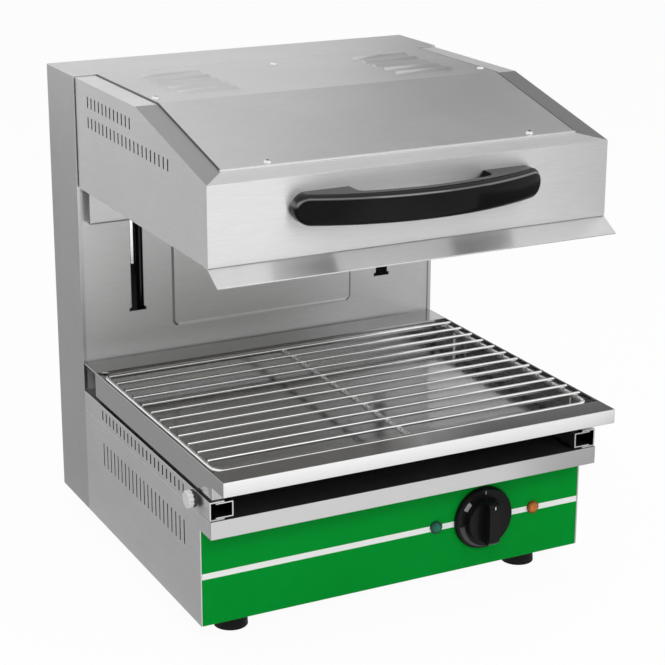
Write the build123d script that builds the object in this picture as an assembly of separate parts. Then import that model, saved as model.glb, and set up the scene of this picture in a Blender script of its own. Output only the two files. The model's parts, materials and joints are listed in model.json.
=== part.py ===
from build123d import *
import math
import os

# Rise-and-fall salamander grill. Millimetres: X is the width, the front looks along -Y,
# Z is up from the table. The origin is on the table, under the middle of the whole outline.

# Casing
body_width = 450.0
body_height = 530.0
body_depth = 445.0        # hood front to column back
base_height = 125.0       # underside of the base to the deck
foot_height = 25.0
sheet = 1.5
seam = 0.25               # gap along the edge of a panel that sits between walls
front_return = 4.0        # flanges that frame the column's front opening
rear_return = 14.0        # flanges that the back cover is screwed to
back_inset = 2.0
panel_setback = 27.0      # control panel behind the hood's front
strip_overhang = 28.0     # deck lip in front of the control panel
strip_height = 19.0

# Vents
vent_width = 2.8
vent_pitch = 11.0
base_vent_start = 58.0    # first vent in front of the column
base_vent_end = 40.0      # last vent at least this far behind the control panel
base_vent_length = 27.5
base_vent_drop = 23.5     # top of the vents below the deck
rail_vent_length = 11.5
rail_vent_lift = 3.5
hood_vent_pitch = 11.2
hood_vent_start = 37.0    # first vent in front of the hood's rear edge
hood_vent_length = 12.0
hood_vent_counts = (12, 21)
hood_vent_drops = (16.0, 38.0)
louvre_length = 68.0
louvre_x = 128.0
louvre_count = 5
louvre_pitch = 25.0
louvre_start = 34.0       # first louvre of the roof behind the bend
louvre_depth = 9.0
louvre_rise = 2.4
louvre_skin = 0.8
back_vent_length = 60.0
back_vent_count = 8
back_vent_pitch = 12.0
back_vent_x = 100.0
back_vent_heights = (95.0, 400.0)
floor_vent_count = 9
floor_vent_pitch = 16.0
floor_vent_length = 120.0

# Hood
hood_width = 446.0
hood_height = 123.5
hood_front_height = 79.5
bend_setback = 178.0      # roof bend behind the hood's front
hood_gap = 2.0            # hood to column
roof_flange = 24.0        # rim of the roof that the top cover leaves free
cover_lap = 12.0          # rim that the top cover lies on
bottom_flange = 12.0
deflector_reach = 22.0
deflector_drop = 13.5
deflector_lap = 10.0
deflector_inset = 2.0     # its bend behind the hood's front
reflector_sheet = 0.8
reflector_height = 32.0
reflector_rim = 13.0
reflector_slope = 14.0

# Heating elements
element_radius = 4.0
element_pairs = 3
element_pitch = 96.0
element_span = 48.0       # between the two legs of one element
element_drop = 15.0       # element centre below the reflector's roof
element_side_gap = 1.25   # hairpin turn to the corner of the reflector's roof
element_bend = 14.0
element_tail = 24.0       # cold end above the reflector's roof
hanger_x = 100.0
hanger_thickness = 2.0
hanger_margin = 12.0
hanger_foot = 7.0
element_gap = 0.3

# Handle
handle_length = 274.0
handle_reach = 45.0
handle_height = 31.0
handle_bar = 14.0
handle_opening = 150.0
handle_end = 8.0          # bar's front off the hood at its ends
handle_corner = 9.0       # where the bar runs into its feet
handle_round = 6.0
handle_z = 48.0           # handle middle above the hood's bottom
handle_screw_x = 100.0
handle_screw_radius = 2.5
handle_screw_depth = 10.0
screw_head_radius = 4.0
screw_head_height = 2.4
screw_shoulder_radius = 3.2
screw_shoulder_height = 1.5
screw_flat_radius = 1.6
screw_gap = 0.1

# Screws of the top cover
rear_screw_inset = 28.0   # in front of the cover's rear edge
bend_screw_setback = 23.0
slope_screw_x = 147.0
screw_edge = 7.0          # screw middle to the cover's edge

# Lifting carriage
hood_travel = 105.0
beam_side_gap = 6.5       # beam end to the hood's side
beam_depth = 10.0
beam_bend = 1.5           # inside radius of the beam's folds
beam_gap = 1.5            # beam to the column's front
beam_height = 100.0
arm_thickness = 3.5
arm_height = 70.0
arm_gap = 6.0             # rope ferrule on the carriage to the pulley's rim
finger_drop = 55.0        # finger below the beam
finger_gap = 2.0          # finger behind the column's front panel
finger_depth = 6.0
slot_width = 15.0
slot_side_gap = 1.5
stop_gap = 2.0
notch_width = 20.0
notch_height = 4.0
emboss_width = 230.0
emboss_bottom = 80.0      # above the deck
emboss_height = 160.0
emboss_corner = 8.0
emboss_slope = 2.5        # width of the field's sloping edge
carriage_setback = 14.0   # carriage web behind the column's front
carriage_sheet = 3.0
carriage_shelf = 16.0
rod_radius = 5.0
rod_x = 138.0
rod_setback = 40.0        # rods behind the column's front
rod_inset = 48.0          # rods in front of the column's back
run_gap = 0.06
bush_wall = 3.0
bush_lip = 2.5
bush_lip_height = 2.0
block_half = 21.5         # bearing block each side of the rod, out to the arm
block_back = 15.0         # bearing block behind the rod's middle
press_gap = 0.02
socket_radius = 9.0
socket_flange_radius = 15.0
socket_flange = 4.0
socket_height = 10.0
crossbar_drop = 21.0      # top of the crossbar below the column's top
crossbar_sheet = 3.0
crossbar_flange = 14.0
crossbar_depth = 56.0

# Ropes, pulleys and counterweight
rope_radius = 1.5
rope_seat_gap = 0.3
pulley_pitch_radius = 20.0
pulley_x = 70.0
pulley_top_gap = 2.5      # pulley rim to its bracket
pulley_width = 10.0
pulley_lip = 3.5
axle_radius = 4.0
axle_head = 2.0
cheek_gap = 0.5
cheek_sheet = 2.0
cheek_depth = 24.0
cheek_tail = 8.0
ferrule_radius = 3.5
ferrule_height = 12.0
weight_side_gap = 5.0     # weight to the guide rods
weight_back_gap = 4.5     # weight to the back cover
weight_floor_gap = 1.5    # lower lugs to the rod sockets, with the hood at the top
weight_arm_gap = 4.5      # upper lugs to the bushes, with the hood at the bottom
weight_corner = 6.0
lug_sheet = 4.0
lug_side = 10.0           # lug beyond the rod's middle
lug_gap = 0.3

# Rails, tray and grid
rail_width = 25.5
rail_height = 20.0
rail_flange = 16.0
rail_nose = 2.0           # rail end behind the deck lip's face
rail_slide_gap = 0.2
inner_flange = 19.0
tray_gap = 5.0            # tray above the rails
spacer_gap = 2.5          # spacer to the fixed rail's flange
spacer_end = 30.0
tray_depth = 28.5
tray_front = 5.0          # front wall in front of the hood's front
tray_rear = 37.5          # rear wall in front of the column
tray_lip_reach = 28.0
tray_lip_height = 15.5
tray_rear_gap = 2.0
frame_rod_radius = 3.0
bar_radius = 2.0
bar_count = 12
first_bar = 20.0          # first bar behind the front frame rod
last_bar = 13.1           # last bar in front of the rear frame rod
cross_rod_radius = 2.8
grid_side_gap = 4.0
grid_front_gap = 6.0
grid_rear_gap = 2.5
grid_corner = 12.0
bar_overhang = 3.0
grid_leg_inset = 30.0
grid_rise = 2.0           # bar tops above the tray's rim

# Thumb screws
thumb_y = 35.5            # behind the deck lip's face
thumb_drop = 7.0          # below the top of the rail
thumb_radius = 9.0
thumb_length = 9.0
thumb_collar_radius = 6.5
thumb_collar = 2.0
thumb_shank_radius = 2.5
thumb_flutes = 12
thumb_tip_gap = 0.3
flute_radius = 1.3

# Controls
control_lift = 3.5        # knob middle above the control panel's middle
knob_x = 102.0
knob_radius = 35.0
knob_skirt = 6.0
knob_hub_radius = 24.0
knob_hub = 14.0
knob_grip = 13.0
knob_reach = 26.0
knob_gap = 1.0
knob_bevel = 2.0
knob_round = 6.0
shaft_radius = 3.0
shaft_engage = 16.0
regulator_width = 44.0
regulator_depth = 32.0
regulator_neck_radius = 5.0
regulator_corner = 3.5
lamp_offsets = (-57.0, 63.5)    # lamps to the left and right of the knob
lamp_lift = -1.0
lens_radius = 7.0
lens_rim = 2.0
lens_reach = 4.5
lamp_body_radius = 5.5
lamp_body_length = 26.0
hole_gap = 0.25

# Feet and inlet
foot_radius = 18.0
foot_top_radius = 16.5
foot_x = 175.0
foot_front = 41.0         # front feet behind the control panel
foot_rear = 45.0          # rear feet in front of the back
gland_offset = 12.0       # gland outside the left guide rod
gland_lift = 60.0         # gland middle above the base's underside
gland_reach = 15.0
gland_radius = 10.0
gland_neck_radius = 8.0
gland_bore_radius = 4.5
gland_nut = 6.0
gland_cap = 8.0           # straight part of the cap
gland_lip = 2.0           # wall round the mouth
terminal_width = 60.0
terminal_depth = 28.0
terminal_height = 22.0
terminal_rib = 3.0
terminal_ways = 3
terminal_step = 9.0
terminal_gap = 10.0       # in front of the column's front

# Planes that several pieces share
half_width = body_width / 2
back_y = (body_depth + handle_reach - gland_reach) / 2
column_y = back_y - rod_inset - rod_setback
hood_y = back_y - body_depth
panel_y = hood_y + panel_setback
strip_y = panel_y - strip_overhang
base_z = foot_height
deck_z = base_z + base_height
wall_x = half_width - sheet
hood_half = hood_width / 2
hood_bottom = body_height - hood_height
hood_top = body_height - sheet
hood_front_top = hood_bottom + hood_front_height
hood_rear_y = column_y - hood_gap
bend_y = hood_y + bend_setback
beam_y = column_y - beam_gap - beam_depth
rod_y = column_y + rod_setback
arm_x = rod_x + block_half
carriage_y = column_y + carriage_setback
crossbar_top = body_height - crossbar_drop
pulley_rim = pulley_pitch_radius + pulley_lip
pulley_z = crossbar_top - crossbar_sheet - cheek_sheet - pulley_top_gap - pulley_rim
arm_top = pulley_z - pulley_rim - ferrule_height - arm_gap
arm_bottom = arm_top - arm_height
beam_bottom = arm_bottom - sheet
rope_front_y = rod_y - pulley_pitch_radius
rope_rear_y = rod_y + pulley_pitch_radius
floor_top = base_z + sheet
rail_top = deck_z + rail_height
tray_bottom = rail_top + tray_gap
tray_top = tray_bottom + tray_depth
tray_front_y = hood_y - tray_front
tray_rear_y = column_y - tray_rear
weight_bottom = floor_top + socket_height + lug_sheet + weight_floor_gap
weight_top = arm_bottom - bush_lip_height - 2 * hood_travel - lug_sheet - weight_arm_gap
control_height = base_z + (base_height - strip_height) / 2 + control_lift
lamp_x = [knob_x + offset for offset in lamp_offsets]
gland_x = -rod_x - gland_offset
element_reach = (hood_half - sheet - seam - reflector_rim - reflector_slope - element_side_gap
                 - element_span / 2 - element_radius)


def box(x0, x1, y0, y1, z0, z1):
    return Pos((x0 + x1) / 2, (y0 + y1) / 2, (z0 + z1) / 2) * Box(x1 - x0, y1 - y0, z1 - z0)


def wide_box(half, y0, y1, z0, z1):
    return box(-half, half, y0, y1, z0, z1)


def along_x(outline, x0, x1):
    """Outline in Y and Z, drawn out along X."""
    return extrude(Plane.YZ.offset(x0) * outline, amount=x1 - x0, dir=(1, 0, 0))


def polygon(points):
    return Polygon(*points, align=None)


def disc(x, y, z, radius, length, axis="Z"):
    """Round bar that starts at a point and runs along +X, +Y or +Z."""
    turn = {"X": Rot(0, 90, 0), "Y": Rot(-90, 0, 0), "Z": Rot(0, 0, 0)}[axis]
    return Pos(x, y, z) * turn * extrude(Circle(radius), amount=length)


def turned(profile, place):
    """Solid of revolution from (radius, height) points about its own Z."""
    return place * revolve(Plane.XZ * polygon(profile), axis=Axis.Z)


def bent_bar(place, radius, pivot, direction, angle):
    """Round bar that starts as a circle on a plane and turns about a line."""
    return revolve(place * Circle(radius), axis=Axis(pivot, direction), revolution_arc=angle)


def vent_row(x0, x1, first_y, count, pitch, z0, z1):
    """Upright vents, from the rear towards the front."""
    places = [first_y - pitch * i for i in range(count)]
    return [box(x0, x1, y - vent_width / 2, y + vent_width / 2, z0, z1) for y in places]


def base_vents(z0, z1):
    """Vents along the left wall of the base or of its rail."""
    first = column_y - base_vent_start
    count = int((first - panel_y - base_vent_end) / vent_pitch) + 1
    return vent_row(-half_width, -wall_x, first, count, vent_pitch, z0, z1)


def mirrored(solid):
    return mirror(solid, about=Plane.YZ)


# Column and base

def column_shell():
    """Sides and top of the column, with flanges round its front and down its back."""
    rear = back_y - sheet
    shell = wide_box(half_width, column_y, rear, base_z, body_height)
    shell -= wide_box(wall_x, column_y + sheet, rear - sheet, base_z, body_height - sheet)
    shell -= wide_box(wall_x, column_y, column_y + sheet, base_z, deck_z)
    shell -= wide_box(half_width - front_return, column_y, column_y + sheet,
                      deck_z, body_height - front_return)
    shell -= wide_box(half_width - rear_return, rear - sheet, rear, base_z, body_height - rear_return)
    return shell


def column_front_panel():
    """Sheet behind the flanges, with a raised field and a slot for each arm."""
    front = column_y + sheet
    half = wall_x - seam
    panel = wide_box(half, front, front + sheet, deck_z, body_height - sheet - seam)

    def field(y):
        middle = Pos(0, deck_z + emboss_bottom + emboss_height / 2)
        foot = RectangleRounded(emboss_width, emboss_height, emboss_corner)
        top = RectangleRounded(emboss_width - 2 * emboss_slope, emboss_height - 2 * emboss_slope,
                               emboss_corner - emboss_slope)
        return loft([Plane.XZ.offset(-y) * middle * foot, Plane.XZ.offset(sheet - y) * middle * top])

    panel += field(front)
    panel -= field(front + sheet)
    outer = arm_x + arm_thickness + slot_side_gap
    inner = outer - slot_width
    middle = (outer + inner) / 2
    bottom = arm_bottom - hood_travel - stop_gap
    for side in (-1, 1):
        x0, x1 = sorted((side * inner, side * outer))
        panel -= box(x0, x1, front, front + sheet, bottom, arm_top + stop_gap)
        panel -= box(side * middle - notch_width / 2, side * middle + notch_width / 2,
                     front, front + sheet, bottom - notch_height, bottom)
    return panel


def back_cover():
    """Rear sheet with two groups of vents on each side and a hole for the inlet gland."""
    half = half_width - back_inset
    cover = wide_box(half, back_y - sheet, back_y, base_z + back_inset, body_height - back_inset)
    cuts = []
    for height in back_vent_heights:
        for side in (-1, 1):
            for i in range(back_vent_count):
                x = side * back_vent_x
                z = height + i * back_vent_pitch
                cuts.append(box(x - back_vent_length / 2, x + back_vent_length / 2,
                                back_y - sheet, back_y, z - vent_width / 2, z + vent_width / 2))
    cuts.append(disc(gland_x, back_y - sheet, base_z + gland_lift,
                     gland_neck_radius + hole_gap, sheet, "Y"))
    return cover - cuts


def base_floor():
    half = wall_x - seam
    front = panel_y + sheet
    rear = back_y - 2 * sheet - seam
    floor = wide_box(half, front, rear, base_z, floor_top)
    middle = (front + column_y) / 2
    cuts = []
    for i in range(floor_vent_count):
        y = middle + (i - (floor_vent_count - 1) / 2) * floor_vent_pitch
        cuts.append(wide_box(floor_vent_length / 2, y - vent_width / 2, y + vent_width / 2,
                             base_z, floor_top))
    return floor - cuts


def base_side():
    """Left side of the base, stepped at the front to carry the ends of the deck's lip."""
    lip_bottom = deck_z - strip_height
    outline = [(column_y, base_z), (panel_y, base_z), (panel_y, lip_bottom),
               (strip_y + sheet, lip_bottom), (strip_y + sheet, deck_z - sheet), (column_y, deck_z - sheet)]
    side = along_x(polygon(outline), -half_width, -wall_x)
    top = deck_z - base_vent_drop
    return side - base_vents(top - base_vent_length, top)


def base_deck():
    """Deck sheet, folded down at the front into a lip that turns back to the control panel."""
    lip_bottom = deck_z - strip_height
    deck = wide_box(half_width, strip_y, column_y, deck_z - sheet, deck_z)
    deck += wide_box(half_width, strip_y, strip_y + sheet, lip_bottom, deck_z)
    deck += wide_box(wall_x - seam, strip_y, panel_y + sheet, lip_bottom, lip_bottom + sheet)
    return deck


def control_panel():
    panel = wide_box(wall_x - seam, panel_y, panel_y + sheet, base_z, deck_z - strip_height)
    holes = [disc(knob_x, panel_y, control_height, regulator_neck_radius + hole_gap, sheet, "Y")]
    holes += [disc(x, panel_y, control_height + lamp_lift, lamp_body_radius + hole_gap, sheet, "Y")
              for x in lamp_x]
    return panel - holes


def feet():
    """Four tapered rubber feet under the base floor."""
    profile = [(0, 0), (foot_radius, 0), (foot_top_radius, foot_height), (0, foot_height)]
    places = [(x, y) for x in (-foot_x, foot_x) for y in (panel_y + foot_front, back_y - foot_rear)]
    return [turned(profile, Pos(x, y, 0)) for x, y in places]


# Rails, tray and grid

def rail_ends():
    return strip_y + rail_nose, column_y - seam


def rail_outer():
    """Left fixed channel: outer wall flush with the base, flanges turned inwards."""
    front, rear = rail_ends()
    channel = box(-half_width, -half_width + rail_flange, front, rear, deck_z, rail_top)
    channel -= box(-wall_x, -half_width + rail_flange, front, rear, deck_z + sheet, rail_top - sheet)
    channel -= base_vents(deck_z + rail_vent_lift, deck_z + rail_vent_lift + rail_vent_length)
    return channel - disc(-half_width, strip_y + thumb_y, rail_top - thumb_drop,
                          thumb_shank_radius + run_gap, sheet, "X")


def rail_inner():
    """Left sliding channel, nested in the fixed one."""
    front, rear = rail_ends()
    inset = sheet + rail_slide_gap
    wall = -half_width + rail_width
    channel = box(wall - inner_flange, wall, front, rear, deck_z + inset, rail_top - inset)
    channel -= box(wall - inner_flange, wall - sheet, front, rear,
                   deck_z + inset + sheet, rail_top - inset - sheet)
    return channel


def tray_spacer():
    """Left bar between the sliding channel and the tray."""
    front, rear = rail_ends()
    wall = -half_width + rail_width
    return box(-half_width + rail_flange + spacer_gap, wall, front + spacer_end, tray_rear_y - spacer_end,
               rail_top - sheet - rail_slide_gap, tray_bottom)


def tray():
    """Folded pan with a boxed front lip and a flat rear flange."""
    pan = wide_box(half_width, tray_front_y, tray_rear_y, tray_bottom, tray_top)
    pan -= wide_box(wall_x, tray_front_y + sheet, tray_rear_y - sheet, tray_bottom + sheet, tray_top)
    lip = tray_front_y - tray_lip_reach
    lip_box = wide_box(half_width, lip, tray_front_y, tray_top - tray_lip_height, tray_top)
    lip_box -= wide_box(wall_x, lip + sheet, tray_front_y, tray_top - tray_lip_height, tray_top - sheet)
    flange = wide_box(half_width, tray_rear_y, column_y - tray_rear_gap, tray_top - sheet, tray_top)
    return pan + lip_box + flange


def grid_planes():
    """Heights of the bars and the frame rod, half the frame's width, and its front and rear rods."""
    bar_z = tray_top + grid_rise - bar_radius
    rod_z = bar_z - bar_radius - frame_rod_radius
    half = wall_x - grid_side_gap - frame_rod_radius
    front = tray_front_y + sheet + grid_front_gap + frame_rod_radius
    rear = tray_rear_y - sheet - grid_rear_gap - frame_rod_radius
    return bar_z, rod_z, half, front, rear


def grid_frame():
    """Looped frame rod with a cross rod in the middle and four legs on the tray's floor."""
    bar_z, rod_z, half, front, rear = grid_planes()
    straight = half - grid_corner
    pieces = [disc(-straight, y, rod_z, frame_rod_radius, 2 * straight, "X") for y in (front, rear)]
    pieces.append(disc(0, front, rod_z, cross_rod_radius, rear - front, "Y"))
    floor = tray_bottom + sheet
    for side in (-1, 1):
        x = side * half
        near, far = front + grid_corner, rear - grid_corner
        pieces.append(disc(x, near, rod_z, frame_rod_radius, far - near, "Y"))
        for y, turn in ((near, -side), (far, side)):
            section = Plane(origin=(x, y, rod_z), z_dir=(0, 1, 0))
            pieces.append(bent_bar(section, frame_rod_radius, (side * straight, y, rod_z), (0, 0, turn), 90))
        for y in (front + grid_leg_inset, rear - grid_leg_inset):
            pieces.append(disc(x, y, floor, bar_radius, rod_z - floor))
    return pieces[0] + pieces[1:]


def grid_bars():
    """Bars that lie across the frame rod."""
    bar_z, rod_z, half, front, rear = grid_planes()
    pitch = (rear - front - first_bar - last_bar) / (bar_count - 1)
    return [disc(-half, front + first_bar + i * pitch, bar_z, bar_radius, 2 * half + bar_overhang, "X")
            for i in range(bar_count)]


def thumb_screw():
    """Left lock screw: fluted head, collar and a shank that reaches the sliding channel."""
    y, z = strip_y + thumb_y, rail_top - thumb_drop
    face = -half_width
    head_x = face - thumb_collar - thumb_length
    tip = -half_width + rail_width - sheet - thumb_tip_gap
    screw = disc(head_x, y, z, thumb_radius, thumb_length, "X")
    flutes = []
    for i in range(thumb_flutes):
        angle = 2 * math.pi * i / thumb_flutes
        flutes.append(disc(head_x, y + thumb_radius * math.cos(angle), z + thumb_radius * math.sin(angle),
                           flute_radius, thumb_length, "X"))
    screw -= flutes
    screw += disc(face - thumb_collar, y, z, thumb_collar_radius, thumb_collar, "X")
    screw += disc(face, y, z, thumb_shank_radius, tip - face, "X")
    return screw


# Hood

def roof_slope():
    """Length and angle of the roof's front slope."""
    run, rise = bend_setback, hood_top - hood_front_top
    return math.hypot(run, rise), math.atan2(rise, run)


def hood_shell():
    """Sides, front and roof rim in one folded sheet, open below, behind and under the top cover."""
    outline = polygon([(hood_rear_y, hood_bottom), (hood_rear_y, hood_top), (bend_y, hood_top),
                       (hood_y, hood_front_top), (hood_y, hood_bottom)])
    inside = offset(outline, amount=-sheet, kind=Kind.INTERSECTION)
    shell = along_x(outline, -hood_half, hood_half)
    shell -= along_x(inside, -hood_half + sheet, hood_half - sheet)
    shell -= wide_box(hood_half - sheet, hood_rear_y - sheet, hood_rear_y, hood_bottom, hood_top - sheet)
    shell -= wide_box(hood_half - bottom_flange, hood_y + bottom_flange, hood_rear_y,
                      hood_bottom, hood_bottom + sheet)
    shell -= wide_box(hood_half - sheet, beam_y, hood_rear_y, hood_bottom, hood_bottom + sheet)
    rim = roof_flange + cover_lap
    length, angle = roof_slope()
    shell -= wide_box(hood_half - rim, hood_y + rim * math.cos(angle), hood_rear_y - cover_lap,
                      hood_front_top, hood_top)
    cuts = []
    for count, drop in zip(hood_vent_counts, hood_vent_drops):
        cuts += vent_row(-hood_half, hood_half, hood_rear_y - hood_vent_start, count, hood_vent_pitch,
                         body_height - drop - hood_vent_length, body_height - drop)
    for x in (-handle_screw_x, handle_screw_x):
        cuts.append(disc(x, hood_y, hood_bottom + handle_z, handle_screw_radius + screw_gap, sheet, "Y"))
    return shell - cuts


def hood_top_cover():
    """Bent sheet that lies on the roof rim, with two groups of louvres behind the bend."""
    length, angle = roof_slope()
    reach = length - roof_flange
    front = (bend_y - reach * math.cos(angle), hood_top - reach * math.sin(angle))
    lift = (-sheet * math.sin(angle), sheet * math.cos(angle))
    bend = sheet * math.tan(angle / 2)
    outline = [(hood_rear_y, hood_top), (bend_y, hood_top), front,
               (front[0] + lift[0], front[1] + lift[1]),
               (bend_y - bend, hood_top + sheet), (hood_rear_y, hood_top + sheet)]
    half = hood_half - roof_flange
    cover = along_x(polygon(outline), -half, half)
    for i in range(louvre_count):
        for x in (-louvre_x, louvre_x):
            gill, hollow = louvre(x, bend_y + louvre_start + i * louvre_pitch)
            cover += gill
            cover -= hollow
    return cover


def louvre(x, y):
    """Gill pressed up out of the roof, open to the rear, and the hollow under it."""
    top = hood_top + sheet
    front, rear = y - louvre_depth / 2, y + louvre_depth / 2
    half = louvre_length / 2
    gill = polygon([(front, top), (rear, top), (rear, top + louvre_rise)])
    inside = front + louvre_skin
    inside_top = top + louvre_rise * louvre_skin / louvre_depth - louvre_skin
    hollow = polygon([(inside, hood_top), (rear, hood_top), (rear, top + louvre_rise - louvre_skin),
                      (inside, inside_top)])
    return (along_x(gill, x - half, x + half),
            along_x(hollow, x - half + louvre_skin, x + half - louvre_skin))


def deflector():
    """Bent strip under the hood's front edge that turns the heat forwards and down."""
    angle = math.atan2(deflector_drop, deflector_reach + deflector_inset)
    bend = sheet * math.tan(angle / 2)
    tip = (hood_y - deflector_reach, hood_bottom - deflector_drop)
    fold = hood_y + deflector_inset
    outline = [(hood_y + deflector_lap, hood_bottom), (fold, hood_bottom), tip,
               (tip[0] + sheet * math.sin(angle), tip[1] - sheet * math.cos(angle)),
               (fold + bend, hood_bottom - sheet), (hood_y + deflector_lap, hood_bottom - sheet)]
    return along_x(polygon(outline), -hood_half, hood_half)


def hood_back_panel():
    return wide_box(hood_half - sheet - seam, beam_y - sheet, beam_y,
                    hood_bottom + sheet, hood_top - sheet - seam)


def element_legs():
    """Y of every straight leg of the heating elements, in pairs."""
    middle = (hood_y + beam_y) / 2
    pairs = [middle + (i - (element_pairs - 1) / 2) * element_pitch for i in range(element_pairs)]
    return [(y - element_span / 2, y + element_span / 2) for y in pairs]


def reflector_planes():
    rim_z = hood_bottom + sheet
    return rim_z, rim_z + reflector_height


def reflector():
    """Inverted tray on the bottom flange, with sloping walls and holes for the cold ends."""
    rim_z, roof_z = reflector_planes()
    half = hood_half - sheet - seam
    front, rear = hood_y + sheet + seam, beam_y - sheet - seam
    middle = (front + rear) / 2

    def frustum(inset, z0, z1):
        low = Plane.XY.offset(z0) * Pos(0, middle) * Rectangle(
            2 * (half - reflector_rim - inset), rear - front - 2 * (reflector_rim + inset))
        high = Plane.XY.offset(z1) * Pos(0, middle) * Rectangle(
            2 * (half - reflector_rim - reflector_slope - inset),
            rear - front - 2 * (reflector_rim + reflector_slope + inset))
        return loft([low, high])

    plate = wide_box(half, front, rear, rim_z, rim_z + reflector_sheet)
    plate += frustum(0, rim_z, roof_z)
    plate -= frustum(reflector_sheet, rim_z, roof_z - reflector_sheet)
    holes = [disc(element_reach, y, roof_z - reflector_sheet, element_radius + element_gap, reflector_sheet)
             for pair in element_legs() for y in pair]
    return plate - holes


def heating_elements():
    """Hairpin tubes along the width, with both cold ends turned up through the reflector."""
    rim_z, roof_z = reflector_planes()
    z, top = roof_z - element_drop, roof_z + element_tail
    left, right = -element_reach, element_reach - element_bend
    bend_z = z + element_bend
    tubes = []
    for y0, y1 in element_legs():
        section = Plane(origin=(left, y0, z), z_dir=(1, 0, 0))
        tube = bent_bar(section, element_radius, (left, (y0 + y1) / 2, z), (0, 0, -1), 180)
        for y in (y0, y1):
            tube += disc(left, y, z, element_radius, right - left, "X")
            section = Plane(origin=(right, y, z), z_dir=(1, 0, 0))
            tube += bent_bar(section, element_radius, (right, y, bend_z), (0, -1, 0), 90)
            tube += disc(element_reach, y, bend_z, element_radius, top - bend_z)
        tubes.append(tube)
    return tubes


def element_hangers():
    """Two strips under the reflector's roof that carry the element legs."""
    rim_z, roof_z = reflector_planes()
    z = roof_z - element_drop
    legs = [y for pair in element_legs() for y in pair]
    strips = []
    for x in (-hanger_x, hanger_x):
        strip = box(x - hanger_thickness / 2, x + hanger_thickness / 2,
                    min(legs) - hanger_margin, max(legs) + hanger_margin,
                    z - hanger_foot, roof_z - reflector_sheet)
        strip -= [disc(x - hanger_thickness / 2, y, z, element_radius + element_gap, hanger_thickness, "X")
                  for y in legs]
        strips.append(strip)
    return strips


def handle():
    """Bowed grip on two feet, with full round ends, rounded along its front edges."""
    half, gap = handle_length / 2 + handle_round, handle_opening / 2
    z = hood_bottom + handle_z
    end_y = hood_y - handle_end
    outer = ThreePointArc((-half, end_y), (0, hood_y - handle_reach), (half, end_y))
    sweep = (half ** 2 + (handle_reach - handle_end) ** 2) / (2 * (handle_reach - handle_end))
    inner_y = hood_y - handle_reach + handle_bar
    foot_y = inner_y + sweep - math.sqrt(sweep ** 2 - gap ** 2)
    inner = ThreePointArc((gap, foot_y), (0, inner_y), (-gap, foot_y))
    bow = make_face([outer, Line((half, end_y), (half, hood_y)), Line((half, hood_y), (gap, hood_y)),
                     Line((gap, hood_y), (gap, foot_y)), inner, Line((-gap, foot_y), (-gap, hood_y)),
                     Line((-gap, hood_y), (-half, hood_y)), Line((-half, hood_y), (-half, end_y))])
    bar = extrude(Plane.XY.offset(z - handle_height / 2) * bow, amount=handle_height)
    bar = fillet(bar.edges().filter_by(Axis.Z).sort_by(Axis.Y)[:2], handle_corner)
    ends = Plane.XZ.offset(-hood_y) * Pos(0, z) * SlotOverall(handle_length, handle_height)
    bar &= extrude(ends, amount=handle_reach)
    front_face = bar.faces().sort_by(Axis.Y)[0]
    bar = fillet(front_face.edges(), handle_round)
    for x in (-handle_screw_x, handle_screw_x):
        bar -= disc(x, hood_y - handle_screw_depth, z, handle_screw_radius + screw_gap,
                    handle_screw_depth, "Y")
    return bar


def handle_screws():
    """Screws from inside the hood into the feet of the handle."""
    z = hood_bottom + handle_z
    screws = []
    for x in (-handle_screw_x, handle_screw_x):
        shank = disc(x, hood_y - handle_screw_depth + screw_gap, z, handle_screw_radius,
                     handle_screw_depth - screw_gap + sheet, "Y")
        head = disc(x, hood_y + sheet, z, screw_head_radius, screw_head_height, "Y")
        screws.append(shank + head)
    return screws


def cover_screws():
    """Button heads on the top cover: one behind, two at the bend and two on the slope."""
    length, angle = roof_slope()
    half = hood_half - roof_flange
    profile = [(0, 0), (screw_head_radius, 0), (screw_shoulder_radius, screw_shoulder_height),
               (screw_flat_radius, screw_head_height), (0, screw_head_height)]
    top = hood_top + sheet
    heads = [turned(profile, Pos(0, hood_rear_y - rear_screw_inset, top))]
    down = length - roof_flange - screw_edge
    slope_y = bend_y - down * math.cos(angle) - sheet * math.sin(angle)
    slope_z = hood_top - down * math.sin(angle) + sheet * math.cos(angle)
    for side in (-1, 1):
        heads.append(turned(profile, Pos(side * (half - screw_edge), bend_y + bend_screw_setback, top)))
        tilt = Pos(side * slope_screw_x, slope_y, slope_z) * Rot(math.degrees(angle), 0, 0)
        heads.append(turned(profile, tilt))
    return heads


# Lifting gear inside the column

def carriage_beam():
    """Folded channel across the rear of the hood, open towards the column."""
    half = hood_half - sheet - beam_side_gap
    rear = beam_y + beam_depth
    beam = wide_box(half, beam_y, rear, beam_bottom, beam_bottom + beam_height)
    inside = wide_box(half, beam_y + sheet, rear, beam_bottom + sheet, beam_bottom + beam_height - sheet)
    beam = fillet(beam.edges().filter_by(Axis.X).sort_by(Axis.Y)[:2], beam_bend + sheet)
    return beam - fillet(inside.edges().filter_by(Axis.X).sort_by(Axis.Y)[:2], beam_bend)


def lift_arm():
    """Left plate from the beam through the column's slot to the bearing block, with a finger in the slot."""
    front, rear = beam_y + sheet, rod_y + block_back
    finger = column_y + 2 * sheet + finger_gap
    finger_end = beam_bottom - finger_drop
    outline = [(finger, arm_bottom), (finger, finger_end), (finger + finger_depth, finger_end),
               (finger + finger_depth, arm_bottom), (rear, arm_bottom), (rear, arm_top),
               (front, arm_top), (front, arm_bottom + beam_bend), (front + beam_bend, arm_bottom)]
    return along_x(polygon(outline), -arm_x - arm_thickness, -arm_x)


def carriage_plate():
    """Angle between the two arms, with a shelf that holds the rope ends."""
    plate = wide_box(arm_x, carriage_y, carriage_y + carriage_sheet, arm_bottom, arm_top)
    shelf_y = rope_front_y + carriage_shelf / 2
    plate += wide_box(arm_x, carriage_y, shelf_y, arm_top - carriage_sheet, arm_top)
    return plate


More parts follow.
